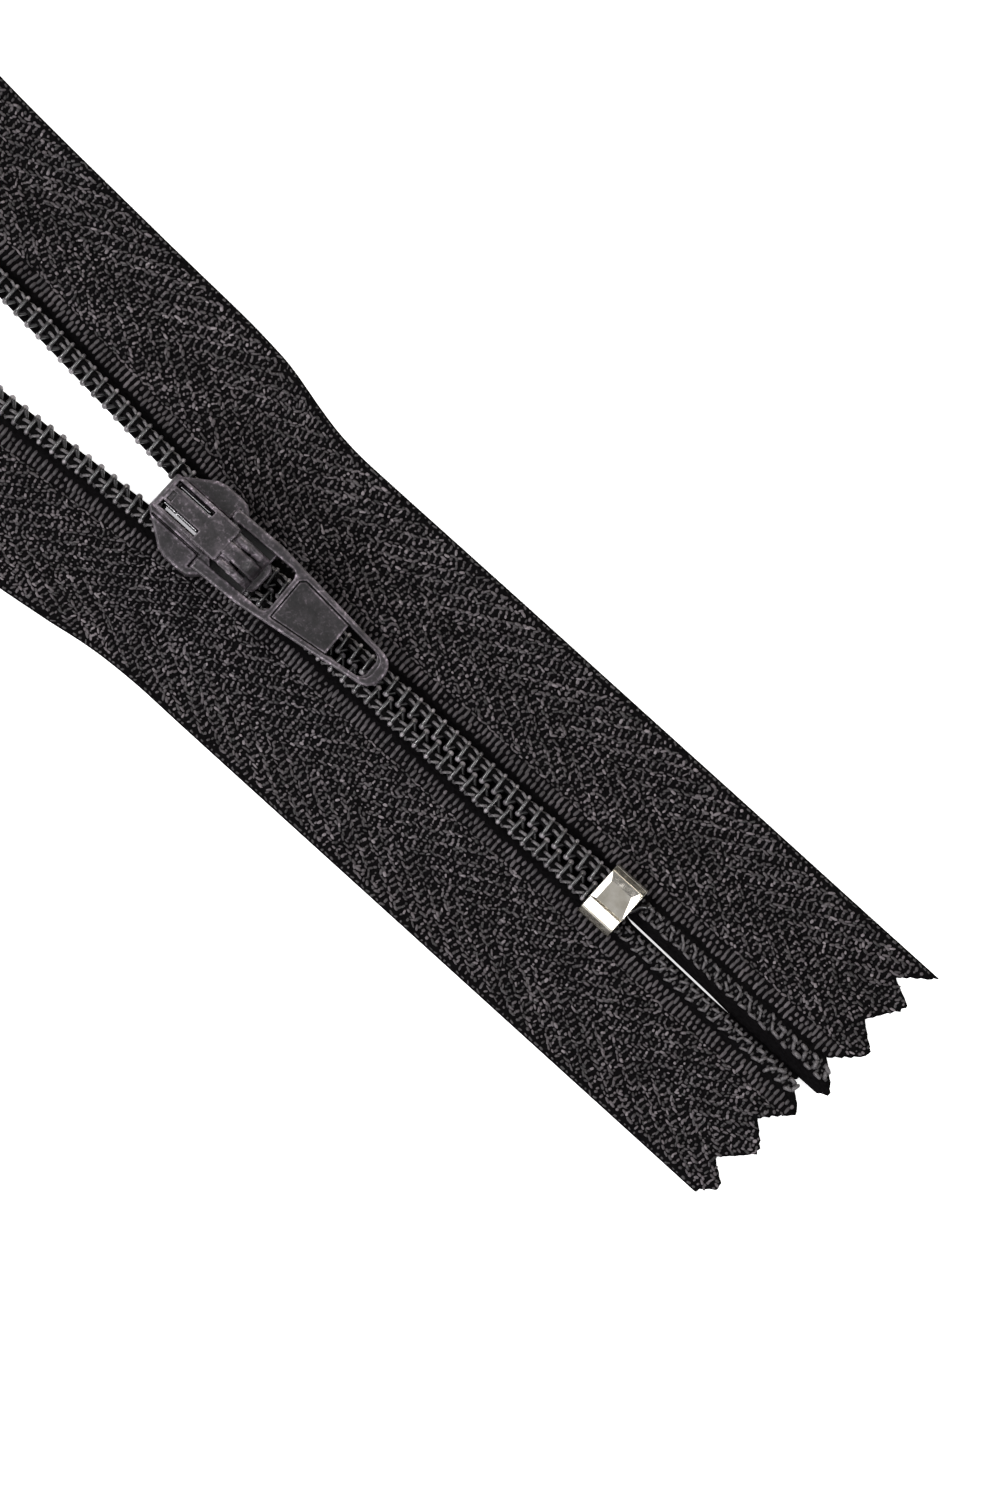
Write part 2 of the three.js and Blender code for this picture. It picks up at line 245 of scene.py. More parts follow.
def position(look, scale=(1, 1, 1)):
    """Place on the object, in millimetres times scale."""
    where = add_node(look, "ShaderNodeTexCoord")
    mapping = add_node(look, "ShaderNodeMapping", Vector=where.outputs["Object"])
    mapping.inputs["Scale"].default_value = [s / MM for s in scale]
    return mapping.outputs["Vector"]


def noise(look, scale, stretch=(1, 1, 1), detail=3, roughness=0.55):
    node = add_node(look, "ShaderNodeTexNoise", Vector=position(look, stretch), Scale=scale,
                    Detail=detail, Roughness=roughness)
    return node.outputs["Fac"]


def ramp(look, value, stops):
    """Colours or greys at places from 0 to 1."""
    node = add_node(look, "ShaderNodeValToRGB", Fac=value)
    elements = node.color_ramp.elements
    while len(elements) < len(stops):
        elements.new(0.5)
    for element, (place, color) in zip(elements, stops):
        element.position = place
        element.color = (*color, 1) if hasattr(color, "__len__") else (color, color, color, 1)
    return node.outputs["Color"]


def drive(look, socket, value):
    shader = look.node_tree.nodes["Principled BSDF"]
    look.node_tree.links.new(value, shader.inputs[socket])


def vary(look, socket, value, stops):
    """Drives a socket with a ramp over a value."""
    drive(look, socket, ramp(look, value, stops))


def tone_of(look):
    """The tone that make() stored at each point."""
    return add_node(look, "ShaderNodeAttribute", {"attribute_name": "tone"}).outputs["Fac"]


def bump(look, *layers):
    """Layers of (height value, strength, distance in mm), each on top of the one before."""
    normal = None
    for height, strength, distance in layers:
        node = add_node(look, "ShaderNodeBump", Height=height, Strength=strength, Distance=distance * MM)
        if normal is not None:
            look.node_tree.links.new(normal, node.inputs["Normal"])
        normal = node.outputs["Normal"]
    drive(look, "Normal", normal)


def multiply(look, a, b):
    node = add_node(look, "ShaderNodeMix", {"data_type": "RGBA", "blend_type": "MULTIPLY"})
    node.inputs["Factor"].default_value = 1
    look.node_tree.links.new(a, node.inputs["A"])
    look.node_tree.links.new(b, node.inputs["B"])
    return node.outputs["Result"]


def ground_cloth():
    """The shaded depth of the weave, between its floats."""
    look = new_material("tape_ground", (0.005, 0.0045, 0.005), 1.0, Specular_IOR_Level=0.03)
    speckle = noise(look, 3.2, stretch=(1, 2, 1))
    vary(look, "Base Color", speckle, [(0.3, (0.0015, 0.0013, 0.0015)), (0.7, (0.004, 0.0036, 0.004))])
    bump(look, (noise(look, 5, stretch=(0.6, 2, 1)), 0.6, 0.06))
    return look


def yarn():
    """Polyester floats: warm grey-black filaments, lighter on some floats than on others."""
    look = new_material("tape_yarn", (0.03, 0.027, 0.03), 0.45, Specular_IOR_Level=0.5)
    shade = ramp(look, tone_of(look), [(0.0, (0.011, 0.0092, 0.0103)), (0.45, (0.045, 0.038, 0.042)),
                                               (0.8, (0.11, 0.094, 0.103)), (1.0, (0.19, 0.165, 0.178))])
    patches = ramp(look, noise(look, 0.22, detail=2), [(0.3, 0.75), (0.7, 1.0)])
    drive(look, "Base Color", multiply(look, shade, patches))
    vary(look, "Roughness", noise(look, 2.5), [(0.3, 0.42), (0.7, 0.62)])
    filaments = noise(look, 3, stretch=(0.8, 9, 4), detail=2)
    bump(look, (filaments, 0.5, 0.03))
    return look


def nylon():
    """Black nylon, its base colour brightened by the stored tone as a painted highlight at the tops of the
    bends.
    """
    look = new_material("coil_nylon", (0.02, 0.0185, 0.02), 0.3, Specular_IOR_Level=1.0)
    vary(look, "Roughness", noise(look, 1.8), [(0.3, 0.22), (0.7, 0.38)])
    tint = ramp(look, noise(look, 1.1), [(0.3, (0.012, 0.011, 0.012)), (0.7, (0.035, 0.032, 0.034))])
    # painted highlight: the stored tone multiplies the base colour up to tenfold
    bright = ramp(look, tone_of(look), [(0.0, 0.75), (1.0, 10.0)])
    drive(look, "Base Color", multiply(look, tint, bright))
    bump(look, (noise(look, 4, stretch=(1, 0.4, 1)), 0.25, 0.03))
    return look


def sewing_thread():
    """Twisted polyester, paler than the cloth."""
    look = new_material("sewing_thread", (0.06, 0.055, 0.06), 0.42)
    strands = noise(look, 4, stretch=(1, 3, 3), detail=2)
    vary(look, "Base Color", strands, [(0.3, (0.03, 0.027, 0.03)), (0.7, (0.13, 0.12, 0.126))])
    bump(look, (noise(look, 7, stretch=(0.7, 2, 2)), 0.6, 0.04))
    return look


def cord_cloth():
    """The dull black string inside each coil, darkened further as painted shade between the coil's legs."""
    look = new_material("core_cord", (0.004, 0.004, 0.004), 0.95, Specular_IOR_Level=0.05)
    strands = noise(look, 4, stretch=(1, 3, 3))
    vary(look, "Base Color", strands, [(0.3, (0.002, 0.002, 0.002)), (0.7, (0.006, 0.0055, 0.006))])
    bump(look, (strands, 0.6, 0.06))
    return look


def slider_enamel():
    """Warm dark grey enamel on die-cast zinc, mottled, with pale specks and fine pits, and painted light
    from the stored tone.
    """
    look = new_material("slider_enamel", (0.07, 0.062, 0.067), 0.36, Specular_IOR_Level=0.4, Metallic=0.1)
    mottle = ramp(look, noise(look, 0.9, detail=7, roughness=0.7),
                  [(0.34, (0.0075, 0.0063, 0.0074)), (0.5, (0.02, 0.0168, 0.0196)),
                   (0.64, (0.048, 0.04, 0.047))])
    specks = ramp(look, noise(look, 3.4, detail=2),
                  [(0.0, 0.8), (0.55, 1.0), (0.62, 1.9), (0.7, 3.4)])
    # painted highlight on convex edges, and painted shade in hollows and wherever the slider's pieces lower
    # their tone
    edges = ramp(look, tone_of(look), [(0.0, 0.12), (0.36, 0.6), (0.5, 1.0), (0.8, 3.0)])
    drive(look, "Base Color", multiply(look, multiply(look, mottle, specks), edges))
    vary(look, "Roughness", noise(look, 1.6, detail=5), [(0.3, 0.3), (0.7, 0.46)])
    bump(look, (noise(look, 1.4, detail=4), 0.4, 0.08), (noise(look, 5, detail=3), 0.45, 0.03))
    return look


def nickel_plate():
    """Bright plate, a little uneven and brushed."""
    look = new_material("stop_nickel", (0.66, 0.62, 0.55), 0.25, Metallic=1.0)
    vary(look, "Base Color", noise(look, 0.9, detail=4),
         [(0.3, (0.33, 0.307, 0.262)), (0.7, (0.46, 0.437, 0.395))])
    vary(look, "Roughness", noise(look, 2.2, detail=5), [(0.3, 0.14), (0.7, 0.26)])
    brushed = noise(look, 9, stretch=(0.3, 1, 1))
    bump(look, (noise(look, 0.8, detail=2), 0.08, 0.05), (brushed, 0.04, 0.01))
    return look


def spring_steel():
    """The lock spring's bare steel."""
    look = new_material("spring_steel", (0.55, 0.54, 0.56), 0.25, Metallic=1.0)
    vary(look, "Roughness", noise(look, 3, stretch=(0.3, 3, 3)), [(0.3, 0.15), (0.7, 0.32)])
    bump(look, (noise(look, 2, stretch=(0.3, 3, 3)), 0.08, 0.01))
    return look


cloth, floats_yarn = ground_cloth(), yarn()
coil_nylon, thread, cord = nylon(), sewing_thread(), cord_cloth()
enamel, nickel, steel = slider_enamel(), nickel_plate(), spring_steel()

# --- Camera, light and floor ---

view_height = 116.7  # mm of table from the picture's top to its bottom
lens, sensor = 135, 36
looks_at = Vector((stop_x + 14.45, -2.8, 1.7))  # the middle of the picture
picture_up = Vector((0.6717, -0.7408, 0))  # the direction on the table that points up in the picture
tilt = math.radians(4)  # the camera stands this far off the vertical, towards the picture's bottom
distance = view_height * lens / sensor


def place(thing, where, target, up):
    """Stands a camera or lamp at where, turned to target. Millimetres."""
    back = (Vector(where) - Vector(target)).normalized()
    right = Vector(up).cross(back).normalized()
    true_up = back.cross(right)
    turn = Matrix((right, true_up, back)).transposed().to_4x4()
    thing.matrix_world = Matrix.Translation(Vector(where) * MM) @ turn


camera_data = bpy.data.cameras.new("camera")
camera_data.lens, camera_data.sensor_width = lens, sensor
camera_data.clip_start, camera_data.clip_end = 0.02, 20
camera = bpy.data.objects.new("camera", camera_data)
bpy.context.scene.collection.objects.link(camera)
bpy.context.scene.camera = camera
stands = looks_at + distance * (Vector((0, 0, math.cos(tilt))) - math.sin(tilt) * picture_up)
place(camera, stands, looks_at, picture_up)


def softbox(name, where, size, watts, color=(1, 1, 1)):
    """A rectangular lamp that faces the zipper."""
    lamp = bpy.data.lights.new(name, "AREA")
    lamp.shape, lamp.size, lamp.size_y = "RECTANGLE", size[0] * MM, size[1] * MM
    lamp.energy, lamp.color = watts, color
    thing = bpy.data.objects.new(name, lamp)
    bpy.context.scene.collection.objects.link(thing)
    place(thing, where, looks_at, (0, 1, 0.01))


softbox("ceiling", (-34, 0, 950), (900, 900), 2.2)
softbox("left", (330, 130, 420), (190, 190), 2.3)
softbox("front", (-90, 420, 380), (230, 160), 2.0)
softbox("right", (-420, -80, 330), (160, 160), 0.9)
softbox("back", (40, -420, 330), (200, 130), 0.9, (1, 0.95, 0.84))

world = bpy.data.worlds.new("studio")
bpy.context.scene.world = world
world.use_nodes = True
background = world.node_tree.nodes["Background"].inputs
background["Color"].default_value = (0.95, 0.97, 1, 1)
background["Strength"].default_value = 0.06
bpy.context.scene.view_settings.view_transform = "Standard"


def floor():
    """White paper that glows, so that it stays white in the picture."""
    look = new_material("floor_paper", (0.9, 0.9, 0.9), 0.7, Emission_Color=(1, 1, 1, 1),
                        Emission_Strength=0.85)
    vary(look, "Base Color", noise(look, 0.05), [(0.3, 0.88), (0.7, 0.92)])
    half, rows, below = 3000, 9, 0.02
    ticks = np.linspace(-half, half, rows)
    x, y = np.meshgrid(ticks, ticks, indexing="ij")
    points = np.stack([x, y, 0 * x - below], -1).reshape(-1, 3)
    make("floor", points, grid(rows, rows), look)


floor()

# --- Tapes ---

# The corners of a cut end, from the inner edge outwards: how far past the bottom stop, and the distance d
PINKED_BOTTOM = {
    "left": [(20.0, 0), (19.6, 0.6), (21.35, 2.35), (21.6, 2.85), (19.6, 5.0), (21.3, 6.5), (21.5, 7.1),
             (19.2, 9.4), (20.9, 10.6), (21.0, 11.2), (20.2, 11.9), (19.8, 12.5)],
    "right": [(21.6, 0), (22.5, 0.35), (22.3, 0.75), (20.5, 2.1), (22.6, 4.2), (22.7, 4.75), (20.6, 6.3),
              (22.3, 8.6), (22.4, 9.3), (20.3, 10.3), (22.5, 12.1), (22.9, 12.5)],
}
end_zone = 15  # the grid's rows lean towards a cut end from here on


def pinked_top():
    """The other cut end, which the photo leaves out, with even teeth."""
    pitch, depth, tip = 4.13, 2, 20
    points = [(tip - 0.9, 0)]
    for k in range(3):
        middle = 1.2 + k * pitch
        points += [(tip - 0.1, middle - 0.3), (tip, middle + 0.25), (tip - depth, middle + pitch / 2)]
    return points[:-1] + [(tip - 1.9, 11.6), (tip - 1.2, tape_half)]


def cut_end(name, end):
    """The places d of a cut end's corners, and a function from d to the end's x."""
    outline = PINKED_BOTTOM[name] if end == "bottom" else pinked_top()
    past, d = np.array(outline).T
    edge = stop_x - past if end == "bottom" else top_x + past
    ragged = SIDES[name] + len(end)
    return d, lambda at: (np.interp(at, d, edge) + 0.07 * np.sin(at * 11 + ragged)
                          + 0.05 * np.sin(at * 23 + 2 * ragged) + 0.04 * np.sin(at * 37))


def tape_under(d):
    """Height of a tape's lower face, but for its rounded edges."""
    return tape_lift * (1 - smooth((d - lifted_half) / (laid_half - lifted_half)))


def half_thickness(d):
    """Half of the tape's thickness, with its two edges rounded."""
    rounding, thinnest = 0.3, 0.03
    from_edge = np.clip(np.minimum(d, tape_half - d), 0, None)
    inside = np.clip(1 - from_edge / rounding, 0, 1)
    return thinnest + (tape_thick / 2 - thinnest) * np.sqrt(1 - inside ** 2)


def tape_face(d, x, top=True):
    """Height of a tape's upper or lower face. Past the bottom stop the upper one bulges, as over a cord."""
    middle = tape_under(d) + tape_thick / 2
    if not top:
        return middle - half_thickness(d) + 0 * x
    bulge = smooth((d - 0.2) / 0.45) * (1 - smooth((d - 1.7) / 0.55)) * smooth((stop_x - 0.6 - x) / 0.5)
    return middle + half_thickness(d) + 0.34 * bulge


def inner_edge(x, side):
    """A tape's inner edge, as d. Past the bottom stop the two edges leave a slit."""
    past = stop_x - x
    aside = side * (0.2 + 0.02 * np.clip(past, 0, 14)) * smooth((past - 1.2) / 0.8)
    return aside + 0.075 * smooth((past - 1.6) / 0.8) * (1 - smooth((past - 10) / 2.8))


def tape(name, end):
    """The closed sheet of one tape, from its cut end to where the two pieces of a side meet."""
    side = SIDES[name]
    corners, edge_at = cut_end(name, end)
    even = np.arange(0.35, tape_half - 0.3, 0.25)
    even = even[np.abs(even[:, None] - corners[None]).min(1) > 0.09]
    columns = np.sort(np.concatenate([even, corners, [0.07, 0.18, tape_half - 0.25, tape_half - 0.1]]))
    zone = stop_x - end_zone if end == "bottom" else top_x + end_zone
    row_step, leaning_rows = 0.5, 12
    even_rows = np.linspace(split_x, zone, int(abs(zone - split_x) / row_step))
    lean = np.linspace(0, 1, leaning_rows + 1)[1:]
    x = np.concatenate([
        np.repeat(even_rows[:, None], len(columns), 1),
        zone + lean[:, None] * (edge_at(columns)[None] - zone),
    ])
    d = np.broadcast_to(columns, x.shape)
    d = d + inner_edge(x, side) * np.clip(1 - d / 2, 0, 1)
    over = np.stack([x, d, tape_face(columns[None], x)], -1)
    under = np.stack([x, d, tape_face(columns[None], x, top=False)], -1)
    rows, across = x.shape
    shape = grid(rows, across)
    lower = rows * across
    faces = shape.tolist() + (shape[:, ::-1] + lower).tolist()
    # The walls between the two faces: along both edges, then across both ends
    last_row = (rows - 1) * across
    for first, step, count, outwards in ((0, across, rows, 1), (across - 1, across, rows, -1),
                                         (1, -1, across, 1), (last_row + 1, -1, across, -1)):
        a = first + np.arange(count - 1) * abs(step)
        faces += np.stack([a, a + step, a + step + lower, a + lower], -1)[:, ::outwards].tolist()
    if end == "bottom":
        faces = [f[::-1] for f in faces]
    points = np.concatenate([over.reshape(-1, 3), under.reshape(-1, 3)])
    return lay(f"{name}_tape_{end}", points, faces, cloth, side)


warp_pitch, weft_pitch = 0.27, 0.51
herring_vertex = 8.1  # the twill turns back at this distance from the centre line
twill_inner, twill_outer = 3.58, 12.15
cloth_first, cloth_last = stop_x - 24, top_x + 21  # the weave is laid out between these, then cut
rim_depth = 0.02  # how deep a yarn's rim lies in the ground cloth


def grain_template(along, across):
    """A lens-shaped bulge over the unit square: places along and across, heights and faces."""
    u, v = np.meshgrid(along, across, indexing="ij")
    taper = np.sqrt(np.clip(1 - np.abs(u) ** 2.6, 0, 1))
    height = np.sqrt(np.clip(1 - v ** 2, 0, 1)) * taper
    return u.ravel(), (v * (0.3 + 0.7 * taper)).ravel(), height.ravel(), grid(len(along), len(across))


FINE = grain_template(np.array([-1, -0.62, 0, 0.62, 1]), np.array([-1, -0.45, 0.45, 1]))
COARSE = grain_template(np.array([-1, 0, 1]), np.array([-1, 0, 1]))


def twill():
    """The yarns' bulges on a tape: x, d, half length, half width, height and turn from the chain.

    A 2/2 herringbone twill. At every crossing either the warp is on top, lying along the tape, or the weft
    is, lying across it. Two of four crossings in a warp show the warp, shifted by one in the next warp.
    """
    turning = int((herring_vertex - twill_inner) / warp_pitch)
    rows = []
    for j in range(int((twill_outer - twill_inner) / warp_pitch)):
        k = np.arange(int((cloth_last - cloth_first) / weft_pitch))
        shift = j if j < turning else 2 * turning - j
        phase = (k - shift) % 4
        warp_on_top = phase < 2
        drawn = np.where(phase == 0, 0.07, np.where(phase == 1, -0.07, 0))  # both bulges of one float meet
        x = cloth_first + (k + 0.5) * weft_pitch + drawn
        d = twill_inner + (j + 0.5) * warp_pitch + np.where(warp_on_top, 0, 0.05)
        half_long = np.where(warp_on_top, 0.205, 0.155) * (1 if j < turning else 1.15)
        half_wide = np.where(warp_on_top, 0.12, 0.118)
        height = np.where(warp_on_top, 0.16, 0.125)
        lies = np.where(warp_on_top, 0, math.pi / 2) + (0.35 if j < turning else -0.35)
        rows.append(np.stack([x, d, half_long, half_wide, height, lies], 1))
    return np.concatenate(rows)


def ribs():
    """The other bulges, as twill() gives them.

    Two rows of ribs and one of short warps lie beside the coil, and one of flat warps in the selvage. Small
    wefts cross the bulge past the bottom stop, and plain weave fills the inner edge past the coils' tops.
    """
    x = np.arange(cloth_first, cloth_last, weft_pitch)
    past_stop, past_coil = x[x < stop_x - 2], x[x > top_x - 1.2]
    across = math.pi / 2
    rows = [
        (x, 2.5, 0.34, 0.15, 0.15, across),
        (x, 3.06, 0.34, 0.15, 0.15, across),
        (x, 3.5, 0.22, 0.1, 0.13, 0.3 * np.sin(x * 5)),
        (x, 12.28, 0.19, 0.1, 0.04, 0),
    ]
    for d in (0.75, 1.15, 1.55):
        rows.append((past_stop + (d * 7 % 0.5), d, 0.2, 0.13, 0.08, across))
    for row, d in enumerate((0.3, 0.84, 1.38, 1.92)):
        rows.append((past_coil + row % 2 * weft_pitch / 2, d, 0.28, 0.14, 0.12, across))
    return np.concatenate([np.stack(np.broadcast_arrays(*row), 1) for row in rows])


def weave(name, end):
    """The yarns that show on both faces of one tape's lower or upper piece, as one mesh on the sheet."""
    side = SIDES[name]
    bulges = np.concatenate([twill(), ribs()])
    x, d, half_long, half_wide, height, lies = bulges.T.copy()
    count = len(x)
    selvage, ribbed = d > twill_outer, d < twill_inner - 0.2
    loose = np.where(ribbed, 0.4, 1)
    drift = 0.09 * np.sin(x * 0.9 + d * 2.3) + 0.07 * np.sin(x * 0.37 - d * 5.1)
    x += drift + loose * random.normal(0, 0.045, count)
    d += np.where(selvage, 0, 0.03 * np.sin(x * 1.7 + d * 3.1) + random.normal(0, 0.022, count))
    half_long *= np.clip(1 + random.normal(0, 0.25, count), 0.5, 1.6)
    half_wide *= np.clip(1 + loose * random.normal(0, 0.15, count), 0.6, 1.35)
    height *= np.clip(1 + loose * random.normal(0, 0.4, count), 0.2, 1.9)
    lies += random.normal(0, np.where(d < twill_inner, 0.07, 0.36), count)
    tone = np.clip(0.42 + loose * random.normal(0, 0.26, count) + 0.08 * np.sin(x * 0.8 + d), 0, 1)
    tone = np.where(selvage | (d < 2.2) & (x < stop_x), tone * 0.3, tone)
    spare = 0.16  # from a yarn's middle to the tape's cut end
    keep = (x < split_x) == (end == "bottom")
    keep &= (x - spare > cut_end(name, "bottom")[1](d)) & (x + spare < cut_end(name, "top")[1](d))
    x, d, half_long, half_wide, height, lies, tone = (
        v[keep, None] for v in (x, d, half_long, half_wide, height, lies, tone))
    bundle = Bundle()
    for top, (u, v, rise, faces) in ((True, FINE), (False, COARSE)):
        px = x + half_long * u * np.cos(lies) - half_wide * v * np.sin(lies)
        pd = d + half_long * u * np.sin(lies) + half_wide * v * np.cos(lies)
        pd = np.clip(pd, 0.03, tape_half - 0.03)
        lift = height * rise - rim_depth
        pz = tape_face(pd, px, top) + (lift if top else -lift)
        bundle.add_many(np.stack([px, pd, pz], -1), faces if top else faces[:, ::-1], tone[:, 0])
    points, tones = np.concatenate(bundle.points), np.concatenate(bundle.tones)
    return lay(f"{name}_weave_{end}", points, bundle.faces, floats_yarn, side, tones)


# --- Coils, cords and threads ---

wire = 0.25  # half thickness of the nylon
head_wide, leg_wide = 0.24, 0.172  # half widths along the chain
leg_lean = 0.1  # how far the right coil's legs lean along the chain
loop_inner, loop_outer = -0.3 + wire, 1.78 - wire
first_loop, last_loop = -1, int(chain_length / coil_pitch) - 1
split_loop = int((split_x - stop_x) / coil_pitch)


def loop_x(n, side):
    """Where the nth head is: the two sides mesh half a pitch apart."""
    return stop_x + (n + (0.5 if side > 0 else 0)) * coil_pitch


def coil(name, piece, first, last):
    """A flattened helix of wire with straight legs and wide heads, that steps along the chain underneath."""
    side = SIDES[name]
    steps, sides = 26, 10
    t = np.arange(first * steps, last * steps + 1) / steps
    turn = (t % 1) * 2 * math.pi - math.pi  # heads at 0
    middle_d, middle_z = (loop_inner + loop_outer) / 2, (coil_low + coil_top) / 2
    reach, rise = (loop_outer - loop_inner) / 2, (coil_top - coil_low) / 2 - wire
    c, s = np.cos(turn), np.sin(turn)
    d = middle_d - reach * np.sign(c) * np.abs(c) ** 0.62
    z = middle_z + rise * np.sign(s) * np.abs(s) ** 0.55
    loops = np.floor(t) + smooth((t % 1 - 0.03) / 0.4) - 1  # the step, under the cord
    lean = leg_lean * (d - middle_d) / reach
    x = loop_x(0, side) + loops * coil_pitch + (lean if side < 0 else 0)
    head = smooth((c - 0.35) / 0.6)
    wide = leg_wide + (head_wide - leg_wide) * head
    thick = wire - 0.05 - 0.02 * head
    points, faces = sweep(np.stack([x, d, z], 1), wide, thick, sides)
    # painted highlight: bright spots on top of the wire at both ends of each upper leg, at the head and at
    # the outer turn
    on_top = s > 0.25
    glint = 0.25 + 0.75 * np.abs(np.sin(np.floor(t) * 2.7 + np.sign(c)))
    painted_highlight = np.where(on_top & (np.abs(c) > 0.7), glint, 0.0)
    return lay(f"{name}_coil_{piece}", points, faces, coil_nylon, side, np.repeat(painted_highlight, sides))


def core_cord(name, piece, from_x, to_x):
    """The flat string that runs straight inside a coil."""
    side = SIDES[name]
    step = 0.6
    x = np.linspace(from_x, to_x, int(abs(to_x - from_x) / step) + 2)
    middle_d, middle_z = 1.0, (coil_low + coil_top) / 2
    path = np.stack([x, middle_d + 0 * x, middle_z + 0 * x], 1)
    points, faces = sweep(path, 0.4, 0.22, sides=10, across=(0, 1, 0))
    return lay(f"{name}_cord_{piece}", points, faces, cord, side)


def seam(name, piece, first, last):
    """Two rows of stitches: each thread comes up between two legs, and dives under the second of them."""
    side = SIDES[name]
    bundle = Bundle()
    steps = 14
    rows = ((0.82, 0.02), (1.3, 0.22)) if side > 0 else ((0.9, 0.02), (1.4, 0.06))
    for d0, slant in rows:
        t = np.arange(first * steps, last * steps + 1) / steps
        from_top = (t - 0.33 + 0.5) % 1 - 0.5
        dip = smooth((np.abs(from_top) - 0.16) / 0.16)
        x = loop_x(0, side) + t * coil_pitch
        outer = 0.14 if d0 > 1 else 0
        z = coil_top - 0.08 - outer - (0.62 + 3 * outer) * dip + 0.04 * np.sin(t * 2.3 + d0)
        crossing = np.clip(from_top / 0.25, -1.2, 1.2) * (1 - smooth((np.abs(from_top) - 0.36) / 0.12))
        d = d0 + slant * crossing + 0.05 * np.sin(t * 1.7 + 3 * d0)
        points, faces = sweep(np.stack([x, d, z], 1), wide=0.12, thick=0.1, sides=8, across=(0, 1, 0))
        bundle.add(points, faces)
    return lay(f"{name}_stitching_{piece}", np.concatenate(bundle.points), bundle.faces, thread, side)


def end_seam(name):
    """Two rows of stitches past the stop, with slanting strokes between them."""
    side = SIDES[name]
    bundle = Bundle()
    pitch = 1.15
    inner, outer = (0.94, 1.72) if side > 0 else (0.62, 1.5)
    first_x = stop_x - 2.5
    along = np.linspace(-1, 1, 9)
    arch = np.sqrt(np.clip(1 - along ** 2, 0, 1))
    count = 16 if side > 0 else 17
    for k in range(count):
        coarse = smooth((k - 10) / 4)
        x = first_x - k * pitch
        between = (inner + outer) / 2
        strokes = [(x, inner, 0.3, 0.1), (x - 0.12, outer, 0.27, 0.4), (x - 0.42, between, 0.3, 1.2)]
        for at, d, half, lies in strokes:
            half = half * (1 - 0.2 * coarse) * (1 + random.normal(0, 0.12))
            lies = lies + random.normal(0, 0.22)
            at, d = at + random.normal(0, 0.06), d + random.normal(0, 0.05)
            px, pd = at + half * along * math.cos(lies), d + half * along * math.sin(lies)
            z = tape_face(pd, px) - 0.1 + 0.22 * arch
            thick = 0.14 + 0.07 * coarse + random.normal(0, 0.012)
            bundle.add(*sweep(np.stack([px, pd, z], 1), thick, thick * 0.85, sides=7, across=(0, 0, 1)))
    return lay(f"{name}_stitching_end", np.concatenate(bundle.points), bundle.faces, thread, side)


# --- Cast and pressed metal ---

CORNERS = [(i, j, k) for i in (0, 1) for j in (0, 1) for k in (0, 1)]  # of a grid's cell


